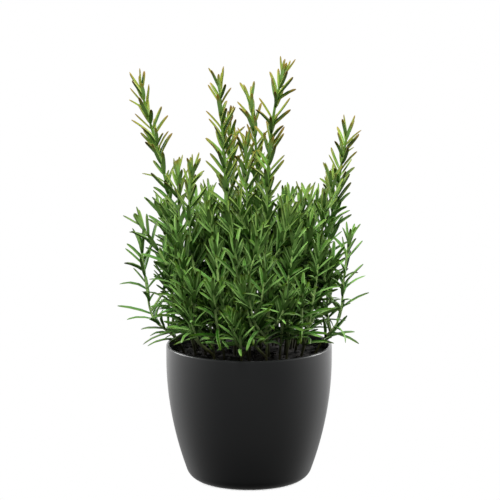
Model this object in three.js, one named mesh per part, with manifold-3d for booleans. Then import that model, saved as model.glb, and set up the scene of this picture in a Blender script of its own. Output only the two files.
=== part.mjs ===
// A rosemary plant in a round charcoal pot, in millimetres, +Z up, with its origin at the centre of the
// pot's underside. The front faces -Y. The pot and the soil are turned shapes. Each leafy stem stands in
// its own hole in the soil and is one solid: a woody stem, its side shoots and the needles that grow on
// them, placed as rosemary grows, with no needle running into another stem's.
import * as THREE from "three";
import { mergeVertices } from "three/addons/utils/BufferGeometryUtils.js";
import Module from "manifold-3d";

const wasm = await Module();
wasm.setup();

// ---- Driving dimensions ----

// Pot
const POT_HEIGHT = 117;
const POT_RADIUS = 70.3; // at the lip, the pot's widest
const BELLY_TAPER = 20.4; // how much the parabolic belly would draw in by z = 0
const BELLY_TOP = 105; // height where the belly's curve ends and the straight collar begins
const POT_WALL = 2.8;
const POT_FLOOR = 3.2;
const OUTER_CORNER_TOP = 9; // height where the belly meets the round corner over the foot
const INNER_CORNER_TOP = 10.6;
const POT_SIDES = 32;

// Soil
const SOIL_TOP = 108;
const SOIL_GAP = 0.3; // clearance to the pot
const SOIL_BUMP = 1.5; // height of the uneven crumbs
const SOIL_RINGS = [0.9, 0.68, 0.45, 0.22]; // rings of the uneven top, as shares of its radius

// Stems
const ROOT_Z = 88; // lower end of each stem, inside the soil
const HOLE_GAP = 0.35; // clearance round a stem in its hole
const STEM_SIDES = 4; // rosemary stems are square
const STEPS_PER_SPAN = 1.5; // straight pieces of a stem from one point to the next
const STEM_TIP_RADIUS = 1.05;
const SHOOT_RADIUS = 1.3; // of a side shoot where it leaves its stem
const BUSH_TOP = 240; // height that side shoots stay under
const BUSH_RADIUS = 72; // and the radius that they stay within
const SHOOT_CLEARANCE = 3.5; // least room between a side shoot and another stem

// Needles
const LEAF_STEP = 11.4; // from one needle to the next along a shoot
const TIP_ROOM = 2; // bare length at a shoot's very tip
const YOUNG_LENGTH = 28; // length below a tip over which needles grow up: longer and less upright
const ARCH_TOP = 200; // height under which needles begin to arch over,
const ARCH_DEPTH = 90; // and how far below it they arch the most
const LEAF_WIDTH = 3.2;
const LEAF_THICKNESS = 1.4;
const LEAF_WIDEST = 0.42; // how far along a needle is widest
const LEAF_NECK = 0.2; // width at its root as a share of its widest
const LEAF_CLEARANCE = 0.35; // least gap between needles of two stems
const LEAF_REACH = 1.6; // radius kept free round a needle
const BARE_SHOOT = 10; // length of a side shoot with no needles on it
// A needle that is in another plant's way tries these: a turn round the shoot, a lift away from it, a size.
const LEAF_TRIES = [[0, 0, 1], [18, -8, 1], [-18, -8, 1], [32, -14, 0.85], [-32, -14, 0.8]];
const WELD = 0.01; // how far fused needles may shift where tiny facets are joined
const RIM_ROOM = 2; // room that needles keep from the pot and the soil

const DEG = Math.PI / 180;
const UP = new THREE.Vector3(0, 0, 1);

// The stems that can be told apart: base radius, bare length above the soil, number of side shoots, and
// the points that each passes, from the root to the tip.
const SEEN_STEMS = {
  tall_left: [1.7, 14, 2, [-40, 14, ROOT_Z], [-57, 18, 170], [-68, 22, 240], [-75, 24, 270], [-92, 28, 333]],
  short_left: [1.4, 18, 2, [-34, -6, ROOT_Z], [-47, -10, 190], [-50, -12, 235], [-47, -12, 268]],
  inner_left: [1.3, 34, 2, [-20, 20, ROOT_Z], [-30, 24, 180], [-35, 26, 234]],
  tall_middle_left: [1.8, 44, 2, [-12, -9, ROOT_Z], [-12, -12, 190], [-19, -10, 250], [-24.5, -6, 339]],
  back_middle_left: [1.4, 44, 2, [-6, 14, ROOT_Z], [-12, 16, 210], [-17, 18, 303]],
  middle: [1.6, 52, 3, [10, 4, ROOT_Z], [9, 5, 200], [6, 6, 280], [1, 8, 325]],
  tall_middle_right: [1.8, 40, 3, [17, -11, ROOT_Z], [14, -14, 180], [16, -14, 268], [21, -14, 318],
    [28, -14, 348]],
  inner_right: [1.3, 30, 2, [28, -4, ROOT_Z], [38, -8, 180], [45, -8, 243]],
  back_inner_right: [1.3, 24, 2, [22, 24, ROOT_Z], [28, 32, 180], [31, 34, 233]],
  short_right: [1.3, 14, 2, [34, 22, ROOT_Z], [50, 32, 170], [55, 36, 219]],
  tall_right: [1.7, 12, 3, [42, 8, ROOT_Z], [54, 12, 150], [70, 16, 210], [76, 18, 255], [83, 20, 295]],
  fork_right: [1.3, 34, 1, [35, 3, ROOT_Z], [52, 1, 170], [69, 2, 222], [69, 3, 258]],
  short_middle: [1.3, 44, 1, [1, -12, ROOT_Z], [0, -12, 190], [-2, -11, 245], [-3, -9, 289]],
  back_left: [1.3, 16, 1, [-28, 25, ROOT_Z], [-46, 34, 150], [-62, 38, 192], [-77, 41, 225]],
  front: [1.4, 8, 2, [4, -26, ROOT_Z], [-4, -39, 135], [-5, -44, 170], [10, -47, 213]],
  front_left: [1.2, 8, 2, [-20, -22, ROOT_Z], [-23, -27, 145], [-28, -30, 203]],
  front_right: [1.2, 6, 2, [24, -27, ROOT_Z], [29, -34, 150], [38, -38, 215]],
  outer_left: [1.3, 6, 1, [-40, -10, ROOT_Z], [-54, -17, 148], [-68, -21, 187], [-90, -26, 224]],
  low_left: [1.2, 8, 1, [-46, 3, ROOT_Z], [-61, 4, 119], [-81, 4, 138], [-87, 3, 167], [-91, 2, 201]],
  low_right: [1.2, 8, 1, [46, -4, ROOT_Z], [61, -6, 119], [76, -8, 140], [80, -8, 176], [84, -8, 208]],
  inner_low_right: [1.2, 6, 2, [38, -17, ROOT_Z], [51, -23, 140], [59, -28, 202]],
  twin_left: [1.2, 20, 1, [-38, 1, ROOT_Z], [-57, -3, 150], [-58, -3, 200], [-60, -1, 264]],
};

// The stems that fill the bush behind and below them stand on rings and lean outwards: on each ring, how
// many, the radius at the root, the radius and height at the tip, the turn of the first stem, the span of
// the ring, the bare length above the soil, and the number of side shoots.
const FILL_RINGS = [
  { name: "back", count: 6, rootR: 38, tipR: 70, tipZ: 220, from: 28, span: 124, bare: 8, sides: 2 },
  { name: "front_rim", count: 4, rootR: 42, tipR: 59, tipZ: 164, from: 228, span: 84, bare: 4, sides: 1 },
  { name: "back_rim", count: 4, rootR: 48, tipR: 62, tipZ: 168, from: 42, span: 84, bare: 4, sides: 1 },
];
const FILL_RADIUS = 1.3;

// ---- Helpers ----

// A number from 0 to 1 that looks random but is always the same for the same counters.
function chance(i, j, k = 0) {
  const wave = Math.sin(i * 12.9898 + j * 78.233 + k * 37.719) * 43758.5453;
  return wave - Math.floor(wave);
}

// A closed three.js geometry as a manifold-3d solid.
function solidOf(geometry) {
  const bare = geometry.clone();
  bare.deleteAttribute("normal");
  bare.deleteAttribute("uv");
  const merged = mergeVertices(bare, 1e-4);
  return new wasm.Manifold(
    new wasm.Mesh({
      numProp: 3,
      vertProperties: merged.attributes.position.array,
      triVerts: new Uint32Array(merged.index.array),
    }),
  );
}

// A manifold-3d solid as a three.js geometry.
function geometryOf(solid) {
  const mesh = solid.getMesh();
  const geometry = new THREE.BufferGeometry();
  geometry.setAttribute("position", new THREE.BufferAttribute(mesh.vertProperties, mesh.numProp));
  geometry.setIndex(new THREE.BufferAttribute(mesh.triVerts, 1));
  geometry.computeVertexNormals();
  return geometry;
}

// Turns a profile of radius and height about +Z.
function turned(profile) {
  return new THREE.LatheGeometry(profile, POT_SIDES).rotateX(Math.PI / 2);
}

function arc(centreR, centreZ, radius, fromDeg, toDeg, steps) {
  const clockwise = toDeg < fromDeg;
  const curve = new THREE.EllipseCurve(
    centreR, centreZ, radius, radius, fromDeg * DEG, toDeg * DEG, clockwise);
  return curve.getPoints(steps);
}

// ---- Pot and soil ----

// The outer wall's radius at a height, and how fast it grows there.
function wallRadius(z) {
  const drawn = Math.max(0, 1 - z / BELLY_TOP);
  return POT_RADIUS - BELLY_TAPER * drawn * drawn;
}
function wallSlope(z) {
  return (2 * BELLY_TAPER * Math.max(0, 1 - z / BELLY_TOP)) / BELLY_TOP;
}

// The wall's profile from a height up to the collar, moved inwards by an inset.
function bellyPoints(fromZ, inset, steps) {
  const points = [];
  for (let i = 1; i <= steps; i++) {
    const z = fromZ + ((BELLY_TOP - fromZ) * i) / steps;
    points.push(new THREE.Vector2(wallRadius(z) - inset, z));
  }
  return points;
}

// The round corner between a floor and the wall, which it meets at a height.
function cornerPoints(floorZ, topZ, inset, steps) {
  const lean = Math.atan(wallSlope(topZ));
  const radius = (topZ - floorZ) / (1 - Math.sin(lean));
  const centreR = wallRadius(topZ) - inset - radius * Math.cos(lean);
  return arc(centreR, floorZ + radius, radius, -90, -lean / DEG, steps);
}

function makePot() {
  const lip = POT_WALL / 2;
  const outside = [
    new THREE.Vector2(0, 0),
    ...cornerPoints(0, OUTER_CORNER_TOP, 0, 3),
    ...bellyPoints(OUTER_CORNER_TOP, 0, 6),
  ];
  const top = arc(POT_RADIUS - lip, POT_HEIGHT - lip, lip, 0, 180, 4);
  const inside = [
    ...cornerPoints(POT_FLOOR, INNER_CORNER_TOP, POT_WALL, 2),
    ...bellyPoints(INNER_CORNER_TOP, POT_WALL, 4),
  ].reverse();
  return turned([...outside, ...top, ...inside, new THREE.Vector2(0, POT_FLOOR)]);
}

// How far the soil's top rises above its level at a place.
function soilBump(x, y) {
  return SOIL_BUMP * (Math.sin(0.19 * x + 0.6) * Math.cos(0.16 * y) + 0.5 * Math.sin(0.37 * x - 0.29 * y));
}

function makeSoil() {
  const inset = POT_WALL + SOIL_GAP;
  const edge = wallRadius(SOIL_TOP) - inset;
  const geometry = turned([
    new THREE.Vector2(0, POT_FLOOR + SOIL_GAP),
    ...cornerPoints(POT_FLOOR + SOIL_GAP, INNER_CORNER_TOP, inset, 2),
    ...bellyPoints(INNER_CORNER_TOP, inset, 4),
    new THREE.Vector2(edge, SOIL_TOP),
    ...SOIL_RINGS.map((share) => new THREE.Vector2(share * edge, SOIL_TOP)),
    new THREE.Vector2(0, SOIL_TOP),
  ]);
  const place = geometry.attributes.position;
  for (let i = 0; i < place.count; i++) {
    const x = place.getX(i);
    const y = place.getY(i);
    const inTop = place.getZ(i) > SOIL_TOP - 1e-3 && Math.hypot(x, y) < 0.95 * edge;
    if (inTop) place.setZ(i, SOIL_TOP + soilBump(x, y));
  }
  return solidOf(geometry);
}

// ---- Stems and side shoots ----

// A smooth curve through points, as a stem or a side shoot grows.
function curveThrough(points) {
  return new THREE.CatmullRomCurve3(points, false, "catmullrom", 0.5);
}

// The level direction square to the way that a curve leans, which keeps its frames from twisting.
function levelSide(curve) {
  const run = curve.getPoint(1).sub(curve.getPoint(0));
  const side = new THREE.Vector3(-run.y, run.x, 0);
  if (side.length() < 1) side.set(1, 0, 0);
  return side.normalize();
}

// The tangent and two directions square to it at a place along a curve.
function frameAt(curve, side, t) {
  const along = curve.getTangent(t);
  const across = side.clone().addScaledVector(along, -side.dot(along)).normalize();
  return { along, across, outward: new THREE.Vector3().crossVectors(along, across) };
}

// The direction away from a curve at an angle round it.
function away(frame, turnDeg) {
  const out = frame.across.clone().multiplyScalar(Math.cos(turnDeg * DEG));
  return out.addScaledVector(frame.outward, Math.sin(turnDeg * DEG));
}

// A shoot is a stem or a side shoot: its curve, which is cut into straight pieces, and its measures.
function makeShoot(points, radius, bare) {
  const curve = curveThrough(points);
  const steps = Math.floor(STEPS_PER_SPAN * (points.length - 1));
  const joints = curve.getPoints(steps);
  return { curve, joints, steps, side: levelSide(curve), length: curve.getLength(), radius, bare };
}

// The place at t, from 0 at the root to 1 at the tip, on a shoot's straight pieces.
function placeOn(shoot, t) {
  const at = t * shoot.steps;
  const i = THREE.MathUtils.clamp(Math.floor(at), 0, shoot.steps - 1);
  return shoot.joints[i].clone().lerp(shoot.joints[i + 1], at - i);
}

// A square rod along a shoot from t = from through a number of its joints, thinner towards the tip. Its flat
// sides face the needles.
function bentRod(shoot, grow, from, joints) {
  const rod = new THREE.CylinderGeometry(1, 1, 1, STEM_SIDES, joints, false, 45 * DEG);
  const place = rod.attributes.position;
  for (let i = 0; i < place.count; i++) {
    const joint = Math.round((place.getY(i) + 0.5) * joints);
    const t = joint === 0 ? from : joint / shoot.steps;
    const radius = shoot.radius + (STEM_TIP_RADIUS - shoot.radius) * t + grow;
    const { across, outward } = frameAt(shoot.curve, shoot.side, Math.max(0, t));
    const bent = placeOn(shoot, t);
    bent.addScaledVector(outward, -place.getX(i) * radius);
    bent.addScaledVector(across, -place.getZ(i) * radius);
    place.setXYZ(i, bent.x, bent.y, bent.z);
  }
  return solidOf(rod);
}

// The shortest distance between two straight pieces a-b and c-d.
function gapBetween(a, b, c, d) {
  const u = b.clone().sub(a);
  const v = d.clone().sub(c);
  const w = a.clone().sub(c);
  const uu = u.dot(u);
  const vv = v.dot(v);
  const uv = u.dot(v);
  const uw = u.dot(w);
  const vw = v.dot(w);
  const det = uu * vv - uv * uv;
  let s = det > 1e-9 ? THREE.MathUtils.clamp((uv * vw - vv * uw) / det, 0, 1) : 0;
  const t = THREE.MathUtils.clamp((uv * s + vw) / vv, 0, 1);
  s = THREE.MathUtils.clamp((uv * t - uw) / uu, 0, 1);
  return w.addScaledVector(u, s).addScaledVector(v, -t).length();
}

// A shoot's centre line as straight pieces.
function piecesOf(shoot) {
  return shoot.joints.slice(1).map((b, i) => ({ a: shoot.joints[i], b, radius: shoot.radius }));
}

// Whether straight pieces keep their distance from those of other plants.
function isClear(pieces, others, room) {
  return pieces.every((p) =>
    others.every((o) => {
      const reach = p.radius + o.radius + room;
      const far = p.a.distanceTo(o.a) > reach + p.a.distanceTo(p.b) + o.a.distanceTo(o.b);
      return far || gapBetween(p.a, p.b, o.a, o.b) > reach;
    }),
  );
}

// The side shoot that leaves a stem at a length from its root, at an angle round it.
function sideShoot(stem, from, turnDeg, length) {
  const t = stem.curve.getUtoTmapping(from / stem.length);
  const frame = frameAt(stem.curve, stem.side, t);
  const root = placeOn(stem, t);
  const out = away(frame, turnDeg);
  const rise = frame.along.lerp(UP, 0.5).normalize();
  const bend = root.clone().addScaledVector(rise, 0.34 * length).addScaledVector(out, 0.3 * length);
  const tip = root.clone().addScaledVector(rise, 0.84 * length).addScaledVector(out, 0.46 * length);
  return makeShoot([root, bend, tip], SHOOT_RADIUS, BARE_SHOOT);
}

// Whether a side shoot ends inside the round of the bush, above which only the tall stems reach.
function isInBush(shoot) {
  const tip = shoot.joints.at(-1);
  return tip.z < BUSH_TOP && Math.hypot(tip.x, tip.y) < BUSH_RADIUS;
}

// Grows a stem's side shoots, each turned until it is clear of the other stems.
function growSideShoots(plant, index, plants) {
  const stem = plant.shoots[0];
  const others = plants.filter((p) => p !== plant).flatMap((p) => p.shoots.flatMap(piecesOf));
  for (let k = 0; k < plant.sideCount; k++) {
    const share = 0.03 + (0.34 * (k + 0.5 * chance(index, k))) / plant.sideCount; // of the leafy length
    const from = stem.bare + share * (stem.length - stem.bare);
    const length = 44 + 26 * chance(index, k + 10);
    for (const turn of [0, 40, -40, 80, -80, 120, -120, 180]) {
      const shoot = sideShoot(stem, from, 137.5 * (k + index) + turn, length);
      const pieces = piecesOf(shoot);
      if (isInBush(shoot) && isOffPot(pieces) && isClear(pieces, others, SHOOT_CLEARANCE)) {
        plant.shoots.push(shoot);
        break;
      }
    }
  }
}

function seenPlants() {
  return Object.entries(SEEN_STEMS).map(([name, [radius, bare, sideCount, ...points]]) => {
    const curve = points.map(([x, y, z]) => new THREE.Vector3(x, y, z));
    return { name: "stem_" + name, sideCount, shoots: [makeShoot(curve, radius, bare + SOIL_TOP - ROOT_Z)] };
  });
}

function fillPlants() {
  return FILL_RINGS.flatMap((ring, r) =>
    Array.from({ length: ring.count }, (_, i) => {
      const turn = (ring.from + (ring.span * (i + 0.3 * chance(i, r))) / (ring.count - 1)) * DEG;
      const reach = ring.tipR * (0.9 + 0.2 * chance(i, r + 3));
      const height = ring.tipZ + 30 * (chance(i, r + 6) - 0.5);
      const at = (radius, z) => new THREE.Vector3(radius * Math.cos(turn), radius * Math.sin(turn), z);
      const middle = at(ring.rootR + 0.4 * (reach - ring.rootR), (SOIL_TOP + height) / 2);
      const shoot = makeShoot([at(ring.rootR, ROOT_Z), middle, at(reach, height)], FILL_RADIUS,
        ring.bare + SOIL_TOP - ROOT_Z);
      return { name: "stem_" + ring.name + "_" + (i + 1), sideCount: ring.sides, shoots: [shoot] };
    }),
  );
}

// ---- Needles ----

// A needle's centre line: it leaves the stem at a tilt and curves away from it by its droop.
function needleLine(leaf) {
  const start = leaf.along.clone().multiplyScalar(Math.cos(leaf.tilt));
  start.addScaledVector(leaf.out, Math.sin(leaf.tilt));
  const under = leaf.along.clone().multiplyScalar(-Math.sin(leaf.tilt));
  under.addScaledVector(leaf.out, Math.cos(leaf.tilt));
  const bend = leaf.root.clone().addScaledVector(start, 0.5 * leaf.length);
  const tip = bend.clone().addScaledVector(start, 0.5 * leaf.length * Math.cos(leaf.droop));
  tip.addScaledVector(under, 0.5 * leaf.length * Math.sin(leaf.droop));
  return { curve: new THREE.QuadraticBezierCurve3(leaf.root, bend, tip), under };
}

// A three-sided needle with a flat upper face and a rib below, made from a cone bent along its line.
function needleSolid(leaf) {
  const { curve, under } = needleLine(leaf);
  const across = new THREE.Vector3().crossVectors(leaf.along, leaf.out).normalize();
  const cone = new THREE.ConeGeometry(1, 1, 3, 2);
  const place = cone.attributes.position;
  for (let i = 0; i < place.count; i++) {
    const ring = Math.round(2 * (place.getY(i) + 0.5)); // 0 at the root, 1 at the widest, 2 at the tip
    const grow = [LEAF_NECK, 2, 1][ring]; // the cone itself is half as wide at its middle ring
    const bent = curve.getPoint([0, LEAF_WIDEST, 1][ring]);
    bent.addScaledVector(across, (place.getX(i) * grow * LEAF_WIDTH) / Math.sqrt(3));
    bent.addScaledVector(under, (place.getZ(i) * grow * LEAF_THICKNESS) / 1.5);
    place.setXYZ(i, bent.x, bent.y, bent.z);
  }
  return solidOf(cone);
}

// A needle's centre line as two straight pieces.
function needlePieces(leaf) {
  const { curve } = needleLine(leaf);
  const [root, widest, tip] = [0, LEAF_WIDEST, 1].map((t) => curve.getPoint(t));
  return [{ a: root, b: widest, radius: LEAF_REACH }, { a: widest, b: tip, radius: LEAF_REACH }];
}

// Whether straight pieces keep off the pot and the soil, at their ends and their middles.
function isOffPot(pieces) {
  return pieces.flatMap(({ a, b }) => [b, a.clone().lerp(b, 0.5)]).every(({ x, y, z }) => {
    const radius = Math.hypot(x, y);
    const outside = radius > POT_RADIUS + RIM_ROOM;
    const inside = radius < POT_RADIUS - POT_WALL - RIM_ROOM && z > SOIL_TOP + SOIL_BUMP + RIM_ROOM;
    return z > POT_HEIGHT + RIM_ROOM || outside || inside;
  });
}

// The needle at a length from a shoot's tip, at an angle round it. Its seed settles its small differences.
function makeLeaf(shoot, fromTip, turnDeg, lift, size, seed) {
  const t = shoot.curve.getUtoTmapping(1 - fromTip / shoot.length);
  const root = placeOn(shoot, t);
  const age = Math.min(1, fromTip / YOUNG_LENGTH);
  const low = age * THREE.MathUtils.clamp((ARCH_TOP - root.z) / ARCH_DEPTH, 0, 1);
  const frame = frameAt(shoot.curve, shoot.side, t);
  const arch = chance(...seed, 3);
  return {
    root,
    along: frame.along,
    out: away(frame, turnDeg),
    tilt: (20 + 11 * age + 17 * low + 14 * (chance(...seed, 2) - 0.5) + lift) * DEG,
    droop: (-4 + 20 * age * arch + (36 + 36 * arch) * low) * DEG,
    length: (17 + 5 * age + (7 + 10 * chance(...seed, 4)) * low) * size,
  };
}

// Grows the needles of one shoot, a quarter turn from one to the next, clear of the other plants.
function growNeedles(plant, shoot, order, others) {
  const count = Math.floor((shoot.length - shoot.bare) / LEAF_STEP);
  for (let k = 0; k <= count; k++) {
    const fromTip = TIP_ROOM + (LEAF_STEP * k * k) / (k + 1); // a little closer together at the tip
    const round = 90 + 90 * k + 14 * (chance(order, k, 1) - 0.5);
    for (const [turn, lift, size] of LEAF_TRIES) {
      const leaf = makeLeaf(shoot, fromTip, round + turn, lift, size, [order, k]);
      const pieces = needlePieces(leaf);
      if (isOffPot(pieces) && isClear(pieces, others, LEAF_CLEARANCE)) {
        plant.needles.push({ leaf, pieces });
        break;
      }
    }
  }
}

// ---- The plant ----

function growPlants() {
  const plants = [...seenPlants(), ...fillPlants()];
  plants.forEach((plant, i) => growSideShoots(plant, i, plants));
  plants.forEach((plant, i) => {
    plant.needles = [];
    const others = plants
      .filter((p) => p !== plant)
      .flatMap((p) => [...p.shoots.flatMap(piecesOf), ...(p.needles ?? []).flatMap((n) => n.pieces)]);
    plant.shoots.forEach((shoot, s) => growNeedles(plant, shoot, 10 * i + s, others));
  });
  return plants;
}

function plantSolid(plant) {
  const pieces = [
    ...plant.shoots.map((shoot) => bentRod(shoot, 0, 0, shoot.steps)),
    ...plant.needles.map(({ leaf }) => needleSolid(leaf)),
  ];
  return wasm.Manifold.union(pieces).asOriginal().simplify(WELD);
}

// The hole that a stem stands in, from below its root to above the soil.
function holeSolid(plant) {
  const stem = plant.shoots[0];
  const top = stem.joints.findIndex((joint) => joint.z > SOIL_TOP + 2 * SOIL_BUMP);
  return bentRod(stem, HOLE_GAP, -HOLE_GAP / stem.length, top);
}

const MATERIALS = {
  pot: new THREE.MeshStandardMaterial({ color: "#2b2d2e", roughness: 0.45, metalness: 0 }),
  soil: new THREE.MeshStandardMaterial({ color: "#1d1813", roughness: 0.95, metalness: 0 }),
  rosemary: new THREE.MeshStandardMaterial({ color: "#4b6b33", roughness: 0.6, metalness: 0 }),
};

function meshOf(name, geometry, material) {
  const mesh = new THREE.Mesh(geometry, material);
  mesh.name = name;
  return mesh;
}

const plants = growPlants();
const soil = makeSoil().subtract(wasm.Manifold.union(plants.map(holeSolid)));

const group = new THREE.Group();
group.add(meshOf("pot", makePot(), MATERIALS.pot));
group.add(meshOf("soil", geometryOf(soil), MATERIALS.soil));
plants.forEach((plant) => group.add(meshOf(plant.name, geometryOf(plantSolid(plant)), MATERIALS.rosemary)));

export default group;
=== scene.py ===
# %% [markdown]
# # A rosemary plant in a round charcoal pot
#
# This lesson dresses a plain frame of solids as a real pot plant. The frame holds a turned pot, a plug of
# soil and a few dozen leafy stems with only some of their needles. Here the pot gets its moulded finish,
# the soil its crumbs, and every stem its full set of needles. The stems are grown again by the same rule
# that made the frame, so each one stands exactly where its solid stands.

# %% Load the frame
import math
from functools import partial

import bpy
import numpy as np
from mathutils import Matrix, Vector
from mathutils.kdtree import KDTree


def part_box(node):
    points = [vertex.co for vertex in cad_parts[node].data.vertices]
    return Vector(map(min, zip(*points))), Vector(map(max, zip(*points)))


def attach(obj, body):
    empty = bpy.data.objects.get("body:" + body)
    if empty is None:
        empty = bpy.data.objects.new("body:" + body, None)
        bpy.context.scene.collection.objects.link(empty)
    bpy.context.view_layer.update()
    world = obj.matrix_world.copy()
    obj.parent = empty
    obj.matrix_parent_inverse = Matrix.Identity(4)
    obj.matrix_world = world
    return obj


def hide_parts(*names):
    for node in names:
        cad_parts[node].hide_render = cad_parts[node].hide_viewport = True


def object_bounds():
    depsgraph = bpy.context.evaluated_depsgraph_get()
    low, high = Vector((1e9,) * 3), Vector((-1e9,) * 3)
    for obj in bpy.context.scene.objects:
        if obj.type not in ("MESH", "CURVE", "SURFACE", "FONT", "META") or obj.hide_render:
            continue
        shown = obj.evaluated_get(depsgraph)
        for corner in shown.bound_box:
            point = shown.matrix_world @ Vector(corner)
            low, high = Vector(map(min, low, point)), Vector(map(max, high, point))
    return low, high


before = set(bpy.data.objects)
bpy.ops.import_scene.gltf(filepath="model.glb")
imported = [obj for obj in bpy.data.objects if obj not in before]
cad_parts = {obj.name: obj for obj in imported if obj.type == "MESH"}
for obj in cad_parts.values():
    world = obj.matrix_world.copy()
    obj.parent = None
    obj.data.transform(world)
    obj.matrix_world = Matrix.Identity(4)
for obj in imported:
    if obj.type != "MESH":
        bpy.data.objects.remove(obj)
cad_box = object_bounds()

MM = 0.001  # the frame is in metres, and the growing rule below works in millimetres
print("nodes in the frame:", len(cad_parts))

# %% [markdown]
# ## Small helpers
#
# Colours are written as the hex values that a colour picker shows on a photograph. Blender mixes light in
# linear values, so one function turns a hex value to linear. Another adds a shader node with its settings
# and its links in one line, which keeps each material short. Its inputs are named, or a list in the node's
# own order: a MapRange takes a value, the range that it has and the range that it gets.

# %% Helpers for colours and shader nodes
def linear(hex_colour):
    """An sRGB hex colour such as '#4b6b33' as linear red, green, blue and alpha."""
    channels = [int(hex_colour[i:i + 2], 16) / 255 for i in (1, 3, 5)]
    return [c / 12.92 if c <= 0.04045 else ((c + 0.055) / 1.055) ** 2.4 for c in channels] + [1.0]


def feed(node, inputs):
    """Sets inputs, named or in order, to values, or links them to a socket or a node's first output."""
    for key, value in inputs.items() if isinstance(inputs, dict) else enumerate(inputs):
        if isinstance(value, bpy.types.Node):
            value = next(socket for socket in value.outputs if socket.enabled)
        if isinstance(value, bpy.types.NodeSocket):
            node.id_data.links.new(value, node.inputs[key])
        else:
            node.inputs[key].default_value = value


def add_node(tree, kind, inputs=(), stops=(), **settings):
    """Adds a shader node. A colour ramp also has stops of a position and a hex colour."""
    node = tree.nodes.new("ShaderNode" + kind)
    for name, value in settings.items():
        setattr(node, name, value)
    feed(node, inputs)
    for _ in stops[2:]:
        node.color_ramp.elements.new(0.5)
    for i, (position, colour) in enumerate(stops):
        node.color_ramp.elements[i].position = position
        node.color_ramp.elements[i].color = linear(colour)
    return node


def new_material(name):
    """A material, the function that adds a node to it, and its Principled shader."""
    material = bpy.data.materials.new(name)
    material.use_nodes = True
    tree = material.node_tree
    return material, partial(add_node, tree), tree.nodes["Principled BSDF"]


# %% Helpers for objects
def deselect_all():
    bpy.ops.object.select_all(action="DESELECT")


def mesh_object(name, points, faces):
    """A new object with a mesh of points in millimetres."""
    mesh = bpy.data.meshes.new(name)
    mesh.from_pydata((points * MM).tolist(), [], faces)
    made = bpy.data.objects.new(name, mesh)
    bpy.context.collection.objects.link(made)
    return made


def join_into(piece, more, smooth_angle):
    """Joins one more object into a piece, and shades smooth what meets at less than an angle."""
    deselect_all()
    more.select_set(True)
    piece.select_set(True)
    bpy.context.view_layer.objects.active = piece
    bpy.ops.object.join()
    bpy.ops.object.shade_smooth_by_angle(angle=math.radians(smooth_angle))


def take_shape(thing):
    """An object's points and faces. The object itself goes."""
    points = np.array([v.co for v in thing.data.vertices])
    faces = [list(face.vertices) for face in thing.data.polygons]
    bpy.data.objects.remove(thing)
    return points, faces


def finish_piece(piece, name, replaced):
    """Names a finished piece and puts it in the place of its solid."""
    piece.name = name
    piece.data.name = name
    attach(piece, "root")
    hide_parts(replaced)


# %% [markdown]
# ## The pot's size, read from the frame
#
# The pot is round, so its box gives its radius and height. The belly is a parabola: it leans out fast at
# the foot, slower as it rises, and ends upright in a collar under the lip.

# %% Measures of the pot
pot_low, pot_high = [Vector(corner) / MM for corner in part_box("pot")]
POT_RADIUS = (pot_high.y - pot_low.y) / 2
POT_HEIGHT = pot_high.z
BELLY_TOP = POT_HEIGHT - 12  # where the belly's curve ends and the straight collar begins
BELLY_TAPER = 0.29 * POT_RADIUS  # how much the parabola would draw in by z = 0
POT_WALL = 2.8
POT_FLOOR = 3.2
OUTER_CORNER_TOP = 9  # height where the belly meets the round corner over the foot,
INNER_CORNER_TOP = 10.6  # and where the wall inside meets the one over the floor
print(f"pot: radius {POT_RADIUS:.1f} mm, height {POT_HEIGHT:.1f} mm")


def wall_radius(z):
    return POT_RADIUS - BELLY_TAPER * max(0, 1 - z / BELLY_TOP) ** 2


def corner(floor_z, top_z, inset, steps):
    """The round corner between a floor and the wall: (radius, height) points up to the wall."""
    lean = math.atan(2 * BELLY_TAPER * (1 - top_z / BELLY_TOP) / BELLY_TOP)
    bend = (top_z - floor_z) / (1 - math.sin(lean))
    centre_r = wall_radius(top_z) - inset - bend * math.cos(lean)
    angles = [(-math.pi / 2) + (math.pi / 2 - lean) * i / steps for i in range(steps + 1)]
    return [(centre_r + bend * math.cos(a), floor_z + bend + bend * math.sin(a)) for a in angles]


def belly(from_z, inset, steps):
    """The wall from a height up to the collar, moved inwards by an inset."""
    heights = [from_z + (BELLY_TOP - from_z) * i / steps for i in range(1, steps + 1)]
    return [(wall_radius(z) - inset, z) for z in heights]


# %% [markdown]
# ## The pot
#
# The real pot is injection moulded in one piece, so it has no seams, an even wall and a soft, rolled lip.
# It could be drawn as a profile and spun, which leaves a seam and a pole to clean. Here it is raised like
# clay instead: a filled circle is the foot, and each ring is an extrude and a resize, up the outside,
# over the lip and down the inside to the floor. The mesh is then closed from the start.

# %% Rings raised from a filled circle
def extrude_rings(rings, axis):
    """Extrudes a filled ring through rings of (size, distance), each distance counted in steps of axis."""
    bpy.ops.object.mode_set(mode="EDIT")
    bpy.ops.mesh.select_all(action="SELECT")
    for (size, distance), (next_size, next_distance) in zip(rings, rings[1:]):
        move = [step * (next_distance - distance) for step in axis]
        scale = [1 if step else next_size / size for step in axis]
        bpy.ops.mesh.extrude_region_move(TRANSFORM_OT_translate={"value": move})
        bpy.ops.transform.resize(value=scale, center_override=[step * next_distance for step in axis])
    bpy.ops.mesh.select_all(action="SELECT")
    bpy.ops.mesh.normals_make_consistent(inside=False)
    bpy.ops.object.mode_set(mode="OBJECT")


def raise_rings(outline, sides):
    """Raises a filled circle along an outline of (radius, height) points. Returns the object."""
    deselect_all()
    radius, height = outline[0]
    bpy.ops.mesh.primitive_circle_add(vertices=sides, radius=radius * MM, fill_type="NGON",
                                      location=(0, 0, height * MM))
    piece = bpy.context.object
    bpy.ops.object.transform_apply()
    extrude_rings(outline, axis=(0, 0, MM))
    return piece


# %% Raise the pot from its foot
POT_SIDES = 128
LIP_STEPS = 10

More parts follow.
